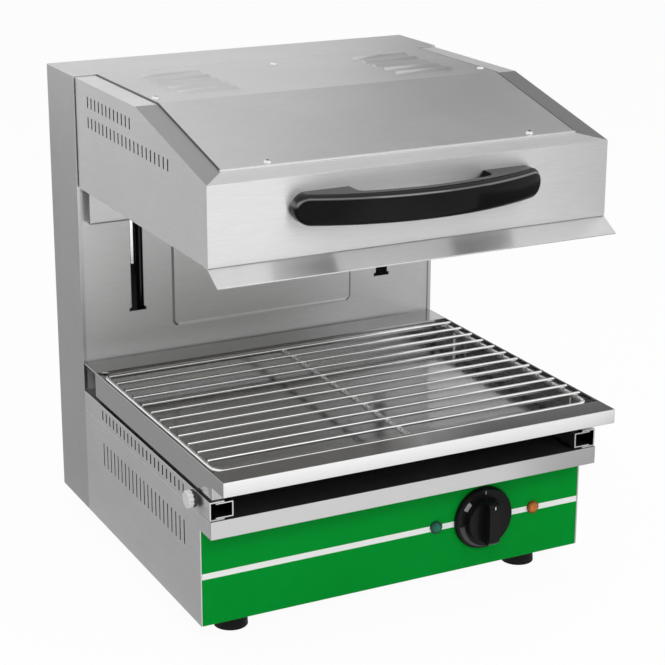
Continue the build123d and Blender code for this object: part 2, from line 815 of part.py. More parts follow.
def bearing_block():
    """Left block behind the carriage plate, bored for its bush."""
    block = box(-arm_x, -rod_x + block_half, carriage_y + carriage_sheet, rod_y + block_back,
                arm_bottom, arm_top - carriage_sheet)
    bore = rod_radius + bush_wall + press_gap
    return block - disc(-rod_x, rod_y, arm_bottom, bore, arm_height)


def guide_bush():
    """Left plain bush with a lip under the block, on the guide rod."""
    length = arm_height - carriage_sheet
    outer, lip_bottom = rod_radius + bush_wall, arm_bottom - bush_lip_height
    bush = disc(-rod_x, rod_y, arm_bottom, outer, length)
    bush += disc(-rod_x, rod_y, lip_bottom, outer + bush_lip, bush_lip_height)
    return bush - disc(-rod_x, rod_y, lip_bottom, rod_radius + run_gap, length + bush_lip_height)


def guide_rod():
    return disc(-rod_x, rod_y, floor_top, rod_radius, crossbar_top - floor_top)


def rod_socket():
    """Left flanged cup on the base floor that holds the foot of the rod."""
    socket = disc(-rod_x, rod_y, floor_top, socket_flange_radius, socket_flange)
    socket += disc(-rod_x, rod_y, floor_top, socket_radius, socket_height)
    return socket - disc(-rod_x, rod_y, floor_top, rod_radius + press_gap, socket_height)


def top_crossbar():
    """Channel across the column that holds the tops of the rods and the pulley brackets."""
    half = wall_x
    front, rear = rod_y - crossbar_depth / 2, rod_y + crossbar_depth / 2
    bar = wide_box(half, front, rear, crossbar_top - crossbar_sheet, crossbar_top + crossbar_flange)
    bar -= wide_box(half, front + crossbar_sheet, rear - crossbar_sheet,
                    crossbar_top, crossbar_top + crossbar_flange)
    return bar - [disc(x, rod_y, crossbar_top - crossbar_sheet, rod_radius + press_gap, crossbar_sheet)
                  for x in (-rod_x, rod_x)]


def pulley_bracket():
    """Left fork under the crossbar, with a hole in each cheek for the axle."""
    inner = pulley_width / 2 + cheek_gap
    outer = inner + cheek_sheet
    top = crossbar_top - crossbar_sheet
    fork = box(-pulley_x - outer, -pulley_x + outer, rod_y - cheek_depth / 2, rod_y + cheek_depth / 2,
               pulley_z - cheek_tail, top)
    fork -= box(-pulley_x - inner, -pulley_x + inner, rod_y - cheek_depth / 2, rod_y + cheek_depth / 2,
                pulley_z - cheek_tail, top - cheek_sheet)
    return fork - disc(-pulley_x - outer, rod_y, pulley_z, axle_radius + press_gap, 2 * outer, "X")


def pulley_axle():
    """Left headed pin through both cheeks."""
    outer = pulley_width / 2 + cheek_gap + cheek_sheet
    pin = disc(-pulley_x - outer, rod_y, pulley_z, axle_radius, 2 * outer + axle_head, "X")
    return pin + disc(-pulley_x - outer - axle_head, rod_y, pulley_z, axle_radius + axle_head, axle_head, "X")


def pulley():
    """Left grooved wheel."""
    groove = pulley_pitch_radius - rope_radius - rope_seat_gap
    face_x = -pulley_x - pulley_width / 2
    wheel = disc(face_x, rod_y, pulley_z, pulley_rim, pulley_width, "X")
    half = pulley_width / 2 - sheet
    throat = rope_radius + rope_seat_gap
    cut = [(groove, -throat), (pulley_rim, -half), (pulley_rim, half), (groove, throat)]
    wheel -= turned(cut, Pos(-pulley_x, rod_y, pulley_z) * Rot(0, 90, 0))
    return wheel - disc(face_x, rod_y, pulley_z, axle_radius + run_gap, pulley_width, "X")


def rope():
    """Left wire rope: up from the carriage, over the pulley and down to the counterweight."""
    x = -pulley_x
    low_front = arm_top + ferrule_height
    low_rear = weight_top + lug_sheet + ferrule_height
    section = Plane(origin=(x, rope_front_y, pulley_z), z_dir=(0, 0, 1))
    wrap = bent_bar(section, rope_radius, (x, rod_y, pulley_z), (-1, 0, 0), 180)
    wrap += disc(x, rope_front_y, low_front, rope_radius, pulley_z - low_front)
    return wrap + disc(x, rope_rear_y, low_rear, rope_radius, pulley_z - low_rear)


def rope_ends(y, z):
    """Pressed ferrules that stand on a plate, one for each rope."""
    return [disc(x, y, z, ferrule_radius, ferrule_height) for x in (-pulley_x, pulley_x)]


def counterweight():
    """Cast block between the guide rods."""
    width = 2 * (rod_x - rod_radius - weight_side_gap)
    depth = 2 * (back_y - sheet - weight_back_gap - rope_rear_y)
    section = RectangleRounded(width, depth, weight_corner)
    return Pos(0, rope_rear_y, weight_bottom) * extrude(section, amount=weight_top - weight_bottom)


def counterweight_lugs():
    """Plates above and below the block that run on the guide rods."""
    half = rod_x + lug_side
    front, rear = rod_y - lug_side, rope_rear_y + lug_side
    plates = []
    for z in (weight_bottom - lug_sheet, weight_top):
        plate = wide_box(half, front, rear, z, z + lug_sheet)
        plate -= [disc(x, rod_y, z, rod_radius + lug_gap, lug_sheet) for x in (-rod_x, rod_x)]
        plates.append(plate)
    return plates


# Controls and inlet

def control_knob():
    """Skirted knob with a rounded hub, cut away on both sides of its grip and bored for the shaft."""
    face = panel_y - knob_gap
    skirt = [(0, 0), (knob_radius, 0), (knob_radius, knob_bevel), (knob_radius - knob_bevel, knob_skirt),
             (0, knob_skirt)]
    hub = extrude(Circle(knob_hub_radius), amount=knob_reach)
    hub = fillet(hub.edges().sort_by(Axis.Z)[-1], knob_round)
    for side in (-1, 1):
        x0, x1 = sorted((side * knob_grip / 2, side * knob_hub_radius))
        hub -= box(x0, x1, -knob_hub_radius, knob_hub_radius, knob_hub, knob_reach)
    knob = Pos(knob_x, face, control_height) * Rot(90, 0, 0) * (turned(skirt, Pos(0, 0, 0)) + hub)
    return knob - disc(knob_x, face - shaft_engage, control_height, shaft_radius + press_gap,
                       shaft_engage, "Y")


def knob_shaft():
    front = panel_y - knob_gap - shaft_engage
    rear = panel_y + sheet + regulator_depth / 2
    return disc(knob_x, front, control_height, shaft_radius, rear - front, "Y")


def regulator():
    """Heat regulator behind the panel, with a neck that carries the shaft."""
    y = panel_y + sheet
    half = regulator_width / 2
    body = box(knob_x - half, knob_x + half, y, y + regulator_depth,
               control_height - half, control_height + half)
    body = fillet(body.edges().filter_by(Axis.Y), regulator_corner)
    neck_y = panel_y - knob_gap / 2
    body += disc(knob_x, neck_y, control_height, regulator_neck_radius, y - neck_y, "Y")
    bore = y - neck_y + regulator_depth / 2 + run_gap
    return body - disc(knob_x, neck_y, control_height, shaft_radius + run_gap, bore, "Y")


def lamp_lens(x):
    """Domed lens with a flat rim, on the face of the panel."""
    place = Pos(x, panel_y, control_height + lamp_lift) * Rot(90, 0, 0)
    profile = [(0, 0), (lens_radius, 0), (lens_radius, lens_rim), (lens_radius - lens_rim / 2, lens_rim),
               (lens_radius - lens_rim, (lens_rim + lens_reach) / 2), (lens_radius / 2, lens_reach),
               (0, lens_reach)]
    return turned(profile, place)


def lamp_bodies():
    """Lamp holders behind the lenses, each with a nut against the panel."""
    bodies = []
    for x in lamp_x:
        z = control_height + lamp_lift
        body = disc(x, panel_y, z, lamp_body_radius, lamp_body_length, "Y")
        body += disc(x, panel_y + sheet, z, lens_radius, lens_rim, "Y")
        bodies.append(body)
    return bodies


def terminal_block():
    """Three-way connector on the base floor, behind the inlet."""
    y = column_y - terminal_gap - terminal_depth
    block = box(gland_x - terminal_width / 2, gland_x + terminal_width / 2, y, y + terminal_depth,
                floor_top, floor_top + terminal_height)
    way = terminal_width / terminal_ways
    for i in range(terminal_ways):
        x = gland_x - terminal_width / 2 + i * way
        block -= box(x + terminal_rib / 2, x + way - terminal_rib / 2, y, y + terminal_step,
                     floor_top + terminal_height / 2, floor_top + terminal_height)
    return block


def cable_gland():
    """Inlet gland: neck through the back cover, cap outside and nut inside."""
    z = base_z + gland_lift
    inside = back_y - sheet
    gland = disc(gland_x, inside - gland_nut, z, gland_neck_radius, gland_nut + sheet, "Y")
    gland += disc(gland_x, inside - gland_nut, z, gland_radius, gland_nut, "Y")
    cap = [(0, 0), (gland_radius, 0), (gland_radius, gland_cap), (gland_bore_radius + gland_lip, gland_reach),
           (0, gland_reach)]
    gland += turned(cap, Pos(gland_x, back_y, z) * Rot(-90, 0, 0))
    length = gland_nut + sheet + gland_reach
    return gland - disc(gland_x, inside - gland_nut, z, gland_bore_radius, length, "Y")


def sided():
    """Pieces made once for the left side and mirrored for the right, each side a node."""
    makers = [base_side, rail_outer, rail_inner, thumb_screw, lift_arm, pulley_bracket, pulley, rope]
    made = {}
    for maker in makers:
        left = maker()
        made[maker.__name__ + "_left"] = left
        made[maker.__name__ + "_right"] = mirrored(left)
    return made


def twins():
    """Small alike pieces of both sides that share a node."""
    makers = {"tray_spacers": tray_spacer, "bearing_blocks": bearing_block, "guide_bushes": guide_bush,
              "guide_rods": guide_rod, "rod_sockets": rod_socket, "pulley_axles": pulley_axle}
    made = {}
    for name, maker in makers.items():
        left = maker()
        made[name] = [left, mirrored(left)]
    return made


def singles():
    makers = [column_shell, column_front_panel, back_cover, base_floor, base_deck, control_panel, feet,
              tray, grid_frame, grid_bars, hood_shell, hood_top_cover, deflector, hood_back_panel, reflector,
              heating_elements, element_hangers, handle, handle_screws, cover_screws, carriage_beam,
              carriage_plate, top_crossbar, counterweight, counterweight_lugs, control_knob, knob_shaft,
              regulator, lamp_bodies, terminal_block, cable_gland]
    made = {maker.__name__: maker() for maker in makers}
    made["lamp_lens_green"] = lamp_lens(lamp_x[0])
    made["lamp_lens_amber"] = lamp_lens(lamp_x[1])
    made["rope_ends_hood"] = rope_ends(rope_front_y, arm_top)
    made["rope_ends_weight"] = rope_ends(rope_rear_y, weight_top + lug_sheet)
    return made


os.makedirs("parts", exist_ok=True)
for name, solid in {**singles(), **sided(), **twins()}.items():
    if isinstance(solid, list):
        solid = Compound(children=solid)
    export_step(solid, f"parts/{name}.step")
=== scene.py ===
import json
import math

import bpy
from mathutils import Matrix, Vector


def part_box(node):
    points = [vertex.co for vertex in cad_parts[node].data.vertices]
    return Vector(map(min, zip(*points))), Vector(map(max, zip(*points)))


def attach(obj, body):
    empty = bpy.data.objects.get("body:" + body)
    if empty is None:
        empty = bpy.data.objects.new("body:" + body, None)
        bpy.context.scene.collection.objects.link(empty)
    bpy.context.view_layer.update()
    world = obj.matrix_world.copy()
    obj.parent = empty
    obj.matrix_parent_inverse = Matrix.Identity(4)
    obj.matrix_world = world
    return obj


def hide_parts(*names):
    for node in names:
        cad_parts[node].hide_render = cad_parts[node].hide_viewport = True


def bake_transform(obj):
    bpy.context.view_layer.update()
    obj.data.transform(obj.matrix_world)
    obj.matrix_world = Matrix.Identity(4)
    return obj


# Looks of a rise-and-fall salamander grill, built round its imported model. Metres, Z up, front towards -Y.

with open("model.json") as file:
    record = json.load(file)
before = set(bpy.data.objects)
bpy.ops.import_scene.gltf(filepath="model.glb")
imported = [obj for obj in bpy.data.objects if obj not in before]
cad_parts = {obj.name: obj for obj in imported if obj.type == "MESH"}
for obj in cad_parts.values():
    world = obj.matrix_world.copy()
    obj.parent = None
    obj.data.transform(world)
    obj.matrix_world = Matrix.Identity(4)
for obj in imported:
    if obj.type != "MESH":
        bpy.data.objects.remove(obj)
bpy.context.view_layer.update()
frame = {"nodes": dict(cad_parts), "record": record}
nodes = frame["nodes"]

# Wire ropes
rope_radius = 0.0015
rope_strands = 6
rope_strand_sides = 4         # points round the rope for each strand
rope_strand_depth = 0.16      # hollow between strands, as a share of the radius
rope_lay = 0.012              # length of one full twist
rope_step = 0.0015

# Marks on the knob
knob_skirt = 0.006            # skirt's face in front of the knob's back
mark_proud = 0.00012
skirt_tick = (0.0280, 0.0320, 0.0011)     # inner radius, outer radius, width
grip_tick = (0.0178, 0.0210, 0.0012)
off_block = (0.0252, 0.0304, 0.0095)      # inner radius, outer radius, length round the skirt
off_angle = 52.0              # degrees to the left of the top
off_steps = 4
heat_arc_start, heat_arc_end = 99.0, 186.0
heat_arc_outer = 0.0315
heat_arc_width = 0.0062
heat_arc_steps = 24

# Dark crosses on the cover's screws, painted shade standing in for their cross recesses
recess_length = 0.0036
recess_width = 0.0008
recess_proud = 0.00002

# Pressed field of the front panel: height of its foot above the deck, width of the painted highlight along
# its lower edge, half width
field_foot, field_edge, field_half = 0.080, 0.0045, 0.108

# Edges of the hood's cover: painted shade in the seam at each side, painted highlight along the front edge
cover_seam_shade, cover_edge_highlight = 0.0014, 0.0020

# Polish of the handle: how far its surface looks up, and the share of polish there
handle_polish = ((0.10, 0.0), (0.25, 1.0), (0.38, 1.0), (0.55, 0.10), (0.92, 0.10), (0.98, 0.32))

# Pale end of the lock screws
lock_end = 0.0055

# Painted stripe across the control panel
stripe_bottom, stripe_top = 0.0760, 0.0825

# Painted shade at the rim of the pilot lamps' domes: where it begins and where it is darkest, as shares of
# the radius
lens_rim_shade = (0.55, 0.95)

# Depth below an outer skin at which a sheet's inside begins
sheet_skin = 0.0005

# Brush marks: axes, and marks per metre across the grain and along it
across_x, across_y, upright = (1, 0, 0), (0, 1, 0), (0, 0, 1)
grain_across, grain_along = 900, 45

# How far a surface looks one way: a side, a top, the hood's sloping rim, the field's sloping edge, a front
side_tilt = 0.7
top_tilt = 0.7
rim_tilt = (0.9, 0.99)
field_tilt = 0.15
front_tilt = 0.5

# Rounding of edges
sharp_sheet = 0.0004
soft_moulding = 0.0008
edge_angle = 40.0             # degrees; flatter edges stay as they are
edge_steps = 2
weld_gap = 1e-6

# Camera, fitted to the photograph's corners
camera_place = (-0.8752, -1.7394, 0.8922)
camera_azimuth, camera_elevation = -26.424, 17.164
camera_lens = 100.55
camera_shift = (0.0301, -0.0526)
camera_reach = 50

# Studio: light all round, floor, and soft lamps given as place, size and watts
world_strength = 0.62
floor_paint = 0.88
floor_glow = 0.94
floor_reach = 6.0
lamp_target = (0, 0, 0.3)
lamps = {"key_light": ((-0.9, -2.2, 1.9), 1.0, 18.0), "right_light": ((1.0, -1.9, 1.7), 0.45, 5.0),
         "top_light": ((0.0, -0.4, 2.4), 1.4, 14.0)}

# Flags that only the metal mirrors: height of those on the floor, and how bright each is.
# A graded flag has stops, each a share of its width and the brightness there.
flag_lift = 0.002
left_flag, right_flag, dark_flag, bright_flag = 0.39, 0.30, 0.50, 1.6
front_flag = ((0.17, 0.95), (0.32, 1.85), (0.40, 1.85), (0.66, 1.3))
rear_flag = ((0.35, 0.66), (0.48, 0.06))


# Node helpers

def add(tree, kind, inputs=None, **settings):
    """A node with its settings and its plain input values."""
    made = tree.nodes.new(kind)
    for name, value in settings.items():
        setattr(made, name, value)
    for name, value in (inputs or {}).items():
        made.inputs[name].default_value = value
    return made


def join(tree, source, target):
    tree.links.new(source, target)


def feed(tree, value, socket):
    """Puts an output, or else plain numbers, into a socket."""
    if isinstance(value, bpy.types.NodeSocket):
        join(tree, value, socket)
    else:
        socket.default_value = value


def maths(tree, operation, *values):
    """Math node: each value is a number or an output."""
    made = add(tree, "ShaderNodeMath", operation=operation)
    for socket, value in zip(made.inputs, values):
        feed(tree, value, socket)
    return made.outputs[0]


def above(tree, value, limit):
    return maths(tree, "GREATER_THAN", value, limit)


def below(tree, value, limit):
    return maths(tree, "LESS_THAN", value, limit)


def either_way(tree, value):
    """Value without its sign, so that left and right count alike."""
    return maths(tree, "ABSOLUTE", value)


def all_of(tree, mask, *others):
    """Mask of the places that several masks share."""
    for other in others:
        mask = maths(tree, "MULTIPLY", mask, other)
    return mask


def shared(tree, first, share, second):
    """First value by its share and the second by the rest."""
    return maths(tree, "MULTIPLY_ADD", first, share, maths(tree, "MULTIPLY", second, 1 - share))


def between(tree, value, low, high):
    """Value from 0 to 1 drawn out between two plain numbers."""
    made = add(tree, "ShaderNodeMapRange", {"To Min": low, "To Max": high})
    join(tree, value, made.inputs["Value"])
    return made.outputs["Result"]


def mixed(tree, factor, first, second, kind="RGBA"):
    """From the first to the second of two colours or vectors, by a mask: each is plain or an output."""
    made = add(tree, "ShaderNodeMix", data_type=kind)
    sockets = [s for s in made.inputs if s.type == kind][-2:]
    for socket, value in zip(sockets, (first, second)):
        plain = not isinstance(value, bpy.types.NodeSocket)
        feed(tree, (*value, 1)[:len(socket.default_value)] if plain else value, socket)
    join(tree, factor, made.inputs[0])
    return next(s for s in made.outputs if s.type == kind)


def stepped(tree, value, stops):
    """Value drawn through stops, each a place from 0 to 1 and the value there."""
    made = add(tree, "ShaderNodeValToRGB")
    steps = made.color_ramp.elements
    for place, amount in stops[1:-1]:
        steps.new(place)
    for step, (place, amount) in zip(steps, stops):
        step.position, step.color = place, (*grey(amount), 1)
    join(tree, value, made.inputs["Fac"])
    return made.outputs["Color"]


def noise(tree, vector, scale, detail=2.0, roughness=0.5):
    made = add(tree, "ShaderNodeTexNoise", {"Scale": scale, "Detail": detail, "Roughness": roughness})
    join(tree, vector, made.inputs["Vector"])
    return made.outputs["Fac"]


def vector_maths(tree, operation, first, second):
    """Vector Math node: each vector is plain numbers or an output."""
    made = add(tree, "ShaderNodeVectorMath", operation=operation)
    feed(tree, first, made.inputs[0])
    feed(tree, second, made.inputs[1])
    return made.outputs["Vector"]


def coordinates(tree, kind):
    return add(tree, "ShaderNodeTexCoord").outputs[kind]


def split(tree, vector):
    """X, Y and Z of a vector."""
    made = add(tree, "ShaderNodeSeparateXYZ")
    join(tree, vector, made.inputs[0])
    return made.outputs


def spot(tree):
    """X, Y and Z of a place on the piece."""
    return split(tree, coordinates(tree, "Object"))


def facing(tree):
    """X, Y and Z of the way that the piece's surface looks."""
    return split(tree, coordinates(tree, "Normal"))


def grey(value):
    return (value, value, value)


def new_group(name, inputs, outputs):
    """Empty shader group with named sockets, given as (name, type, start value)."""
    group = bpy.data.node_groups.new(name, "ShaderNodeTree")
    for label, kind, value in inputs:
        socket = group.interface.new_socket(label, in_out="INPUT", socket_type=kind)
        socket.default_value = value
    for label, kind in outputs:
        group.interface.new_socket(label, in_out="OUTPUT", socket_type=kind)
    return group, group.nodes.new("NodeGroupInput"), group.nodes.new("NodeGroupOutput")


# Shared effects

def stretch(axis):
    """Noise scale that draws brush marks out along an axis."""
    return tuple(grain_along if on else grain_across for on in axis)


def brushed_grain_group():
    """Brushed streaks, coarse and fine, that run one way on fronts and tops and another way on sides."""
    group, given, out = new_group(
        "brushed_grain",
        [("Front Stretch", "NodeSocketVector", stretch(across_x)),
         ("Side Stretch", "NodeSocketVector", stretch(across_y))],
        [("Streak", "NodeSocketFloat"), ("Scratch", "NodeSocketFloat")])
    on_side = above(group, either_way(group, facing(group)["X"]), side_tilt)
    way = mixed(group, on_side, given.outputs["Front Stretch"], given.outputs["Side Stretch"], "VECTOR")
    drawn = vector_maths(group, "MULTIPLY", coordinates(group, "Object"), way)
    join(group, noise(group, drawn, scale=1.0, detail=3.0, roughness=0.6), out.inputs["Streak"])
    join(group, noise(group, drawn, scale=2.6, detail=2.0, roughness=0.7), out.inputs["Scratch"])
    return group


def handling_group():
    """Broad soft patches that dull a surface a little, as from wiping and handling."""
    group, given, out = new_group("handling_marks", [("Scale", "NodeSocketFloat", 14.0)],
                                  [("Smudge", "NodeSocketFloat")])
    patches = add(group, "ShaderNodeTexNoise", {"Detail": 4.0, "Roughness": 0.55})
    join(group, coordinates(group, "Object"), patches.inputs["Vector"])
    join(group, given.outputs["Scale"], patches.inputs["Scale"])
    join(group, patches.outputs["Fac"], out.inputs["Smudge"])
    return group


def moulded_skin_group():
    """Fine pebbled skin of moulded and cast pieces, with a broader unevenness."""
    group, given, out = new_group("moulded_skin", [("Grain", "NodeSocketFloat", 900.0)],
                                  [("Pebble", "NodeSocketFloat"), ("Uneven", "NodeSocketFloat")])
    place = coordinates(group, "Object")
    pebble = add(group, "ShaderNodeTexVoronoi", feature="SMOOTH_F1")
    join(group, place, pebble.inputs["Vector"])
    join(group, given.outputs["Grain"], pebble.inputs["Scale"])
    join(group, pebble.outputs["Distance"], out.inputs["Pebble"])
    join(group, noise(group, place, scale=38.0, detail=3.0), out.inputs["Uneven"])
    return group


brushed_grain = brushed_grain_group()
handling_marks = handling_group()
moulded_skin = moulded_skin_group()


# Finishes

def new_finish(name, **values):
    """Material with a Principled shader and its plain values."""
    made = bpy.data.materials.new(name)
    made.use_nodes = True
    shader = shader_of(made)
    for label, value in values.items():
        shader.inputs[label.replace("_", " ").title().replace("Ior", "IOR")].default_value = value
    return made, made.node_tree, shader


def shader_of(made):
    return made.node_tree.nodes["Principled BSDF"]


def place_group(tree, group, **values):
    made = tree.nodes.new("ShaderNodeGroup")
    made.node_tree = group
    for label, value in values.items():
        made.inputs[label.replace("_", " ").title()].default_value = value
    return made.outputs


def bump(tree, shader, height, strength, distance=0.0001):
    made = add(tree, "ShaderNodeBump", {"Strength": strength, "Distance": distance})
    join(tree, height, made.inputs["Height"])
    join(tree, made.outputs["Normal"], shader.inputs["Normal"])


def lay_over(made, mask, tone, share=1.0):
    """Lays a plain tone over a finish's own colour, by a share of a mask."""
    tree = made.node_tree
    colour = shader_of(made).inputs["Base Color"]
    factor = maths(tree, "MULTIPLY", mask, share)
    join(tree, mixed(tree, factor, colour.links[0].from_socket, tone), colour)


def lay_grain(tree, shader, side, turned=None):
    """Smears reflections across the brush marks: these run along X, but not on sides and where turned."""
    normal = add(tree, "ShaderNodeNewGeometry").outputs["Normal"]
    on_side = above(tree, either_way(tree, split(tree, normal)["X"]), side_tilt)
    if turned:
        on_side = maths(tree, "MAXIMUM", on_side, turned)
    way = mixed(tree, on_side, across_x, side, "VECTOR")
    join(tree, vector_maths(tree, "CROSS_PRODUCT", way, normal), shader.inputs["Tangent"])


satin = {"dark": grey(0.61), "light": grey(0.84), "dull": 0.38, "bright": 0.29, "smear": 0.9}
hood_satin = {**satin, "dull": 0.44, "bright": 0.36, "smear": 1.0}
deck_satin = {**satin, "dark": grey(0.56), "light": grey(0.63)}
pan_satin = {"dark": grey(0.56), "light": grey(0.63), "dull": 0.17, "bright": 0.12, "smear": 0.5}
dark_share = 0.95             # how far painted shade and painted reflection cover the sheet's own tone


def brushed_steel(name, side, sheet, mirror=1.0, turned=None):
    """Satin sheet steel: brush marks shift its colour and gloss a little and smear what it mirrors."""
    made, tree, shader = new_finish(name, metallic=mirror, anisotropic=sheet["smear"])
    grain = place_group(tree, brushed_grain, front_stretch=stretch(across_x), side_stretch=stretch(side))
    smudge = place_group(tree, handling_marks, scale=9.0)["Smudge"]
    tone = shared(tree, smudge, 0.4, grain["Streak"])
    join(tree, mixed(tree, tone, sheet["dark"], sheet["light"]), shader.inputs["Base Color"])
    gloss = shared(tree, grain["Scratch"], 0.5, smudge)
    join(tree, between(tree, gloss, sheet["bright"], sheet["dull"]), shader.inputs["Roughness"])
    bump(tree, shader, grain["Scratch"], strength=0.05)
    lay_grain(tree, shader, side, turned(tree) if turned else None)
    return made


def hood_side_rim(tree):
    """Mask of the sloping rims at the hood's sides, which meet the front rim in a mitre."""
    cover_low, cover_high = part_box("hood_top_cover")
    hood_low, hood_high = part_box("hood_shell")
    place, up = spot(tree), facing(tree)["Z"]
    mitre = (hood_high.x - cover_high.x) / (cover_low.y - hood_low.y)
    line = maths(tree, "MULTIPLY_ADD", place["Y"], mitre, either_way(tree, place["X"]))
    return all_of(tree, above(tree, up, rim_tilt[0]), below(tree, up, rim_tilt[1]),
                  above(tree, line, hood_high.x + mitre * hood_low.y))


def hood_steel():
    """Hood's sheet, with its sloping side rims painted darker as a painted reflection."""
    made = brushed_steel("hood_steel", across_y, hood_satin, turned=hood_side_rim)
    # Painted reflection: the sloping side rims are darkened to stand in for what they mirror.
    lay_over(made, hood_side_rim(made.node_tree), grey(0.45), dark_share)
    return made


def cover_steel():
    """Hood's cover: painted shade darkens its sides in their seams, and a painted highlight brightens its
    front edge.
    """
    made = brushed_steel("cover_steel", across_y, satin)
    tree = made.node_tree
    low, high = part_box("hood_top_cover")
    place = spot(tree)
    # Painted shade in the side seams, then a painted highlight on the front edge.
    lay_over(made, above(tree, either_way(tree, place["X"]), high.x - cover_seam_shade), grey(0.12))
    lay_over(made, below(tree, place["Y"], low.y + cover_edge_highlight), grey(0.98))
    return made


def panel_steel():
    """Front panel: painted shade darkens the upright edges of its pressed field, and a painted highlight
    makes the lower edge pale and dull.
    """
    mirror = 0.65
    made = brushed_steel("panel_steel", across_y, satin, mirror)
    tree = made.node_tree
    place, face = spot(tree), facing(tree)
    sides = all_of(tree, above(tree, either_way(tree, face["X"]), field_tilt),
                   below(tree, face["Y"], -front_tilt))
    # Painted shade on the upright sloping edges of the field.
    lay_over(made, sides, grey(0.20), dark_share)
    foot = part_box("base_deck")[1].z + field_foot
    band = maths(tree, "COMPARE", place["Z"], foot + field_edge / 2, field_edge / 2)
    lower = all_of(tree, band, below(tree, either_way(tree, place["X"]), field_half))
    # Painted highlight: the lower edge is pale and not metallic, so it reads bright.
    lay_over(made, lower, grey(0.97))
    dull = all_of(tree, lower, below(tree, face["Z"], -field_tilt))
    join(tree, between(tree, dull, mirror, 0.0), shader_of(made).inputs["Metallic"])
    return made


def deck_steel():
    """Deck's sheet, with painted shade darkening its top under the tray."""
    made = brushed_steel("deck_steel", across_y, deck_satin)
    tree = made.node_tree
    # Painted shade on the upward faces, which lie under the tray.
    lay_over(made, above(tree, facing(tree)["Z"], top_tilt), grey(0.16), dark_share)
    return made


def rail_steel():
    """Rails, with painted shade darkening the hollow between the fixed and the sliding one."""
    made = brushed_steel("rail_steel", across_y, satin)
    tree = made.node_tree
    outer_low, outer_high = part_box("rail_outer_right")
    inner_low, inner_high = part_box("rail_inner_right")
    place = spot(tree)
    aside = either_way(tree, place["X"])
    hollow = all_of(tree, above(tree, aside, inner_low.x + sheet_skin),
                    below(tree, aside, outer_high.x - sheet_skin),
                    above(tree, place["Y"], outer_low.y + sheet_skin),
                    above(tree, place["Z"], outer_low.z + sheet_skin),
                    below(tree, place["Z"], outer_high.z - sheet_skin))
    # Painted shade in the hollow, where little light gets in.
    lay_over(made, hollow, grey(0.03), dark_share)
    return made


def pan_steel():
    """Tray's sheet: its inside and tops are painted darker as shade than its outer sides and the front of its
    lip.
    """
    made = brushed_steel("pan_steel", across_y, pan_satin)
    tree = made.node_tree
    low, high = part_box("tray")
    place = spot(tree)
    inside = all_of(tree, below(tree, either_way(tree, place["X"]), high.x - sheet_skin),
                    above(tree, place["Y"], low.y + sheet_skin))
    # Painted shade inside the tray.
    lay_over(made, inside, grey(0.42), dark_share)
    return made


def plated_wire(name, tone, roughness, mirror=1.0):
    """Bright plating with faint drawing marks and duller patches."""
    made, tree, shader = new_finish(name, metallic=mirror)
    smudge = place_group(tree, handling_marks, scale=60.0)["Smudge"]
    join(tree, mixed(tree, smudge, [c * 0.86 for c in tone], tone), shader.inputs["Base Color"])
    join(tree, between(tree, smudge, roughness * 0.6, roughness * 1.5), shader.inputs["Roughness"])
    bump(tree, shader, place_group(tree, moulded_skin, grain=1400.0)["Pebble"], strength=0.05)
    return made


def lock_screw():
    """Pale zinc end; the body behind it, towards the rail, is painted dark as shade."""
    made = plated_wire("lock_screw", grey(0.84), roughness=0.5, mirror=0.3)
    tree = made.node_tree
    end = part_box("thumb_screw_right")[1].x
    # Painted shade on the body behind the pale end.
    lay_over(made, below(tree, either_way(tree, spot(tree)["X"]), end - lock_end), grey(0.07))
    return made


def moulded_plastic(name, dark, light, dull, bright, grain, relief, sheen):
    """Moulded plastic, rubber or cast metal, pebbled, with slightly uneven gloss."""
    made, tree, shader = new_finish(name, specular_ior_level=sheen)
    skin = place_group(tree, moulded_skin, grain=grain)
    join(tree, mixed(tree, skin["Uneven"], dark, light), shader.inputs["Base Color"])
    join(tree, between(tree, skin["Uneven"], bright, dull), shader.inputs["Roughness"])
    bump(tree, shader, skin["Pebble"], relief)
    return made


def handle_black():
    """Black moulding, polished by use where its front turns into its top."""
    made = moulded_plastic("handle_black", grey(0.003), grey(0.006), dull=0.14, bright=0.08,
                           grain=1500.0, relief=0.01, sheen=0.085)
    tree, shader = made.node_tree, shader_of(made)
    shader.inputs["Coat Roughness"].default_value = 0.08
    shader.inputs["Coat IOR"].default_value = 2.5
    join(tree, stepped(tree, facing(tree)["Z"], handle_polish), shader.inputs["Coat Weight"])
    return made


def green_enamel():
    """Gloss enamel with a faint orange peel and one white stripe printed across it."""
    made, tree, shader = new_finish("green_enamel", specular_ior_level=0.025)
    smudge = place_group(tree, handling_marks, scale=11.0)["Smudge"]
    paint = mixed(tree, smudge, (0.0004, 0.250, 0.022), (0.0008, 0.300, 0.034))
    join(tree, paint, shader.inputs["Base Color"])
    height = spot(tree)["Z"]
    stripe = all_of(tree, above(tree, height, stripe_bottom), below(tree, height, stripe_top))
    lay_over(made, stripe, (0.86, 0.87, 0.86))
    join(tree, between(tree, smudge, 0.24, 0.36), shader.inputs["Roughness"])
    peel = place_group(tree, moulded_skin, grain=420.0)["Uneven"]
    bump(tree, shader, peel, strength=0.03, distance=0.0004)
    return made


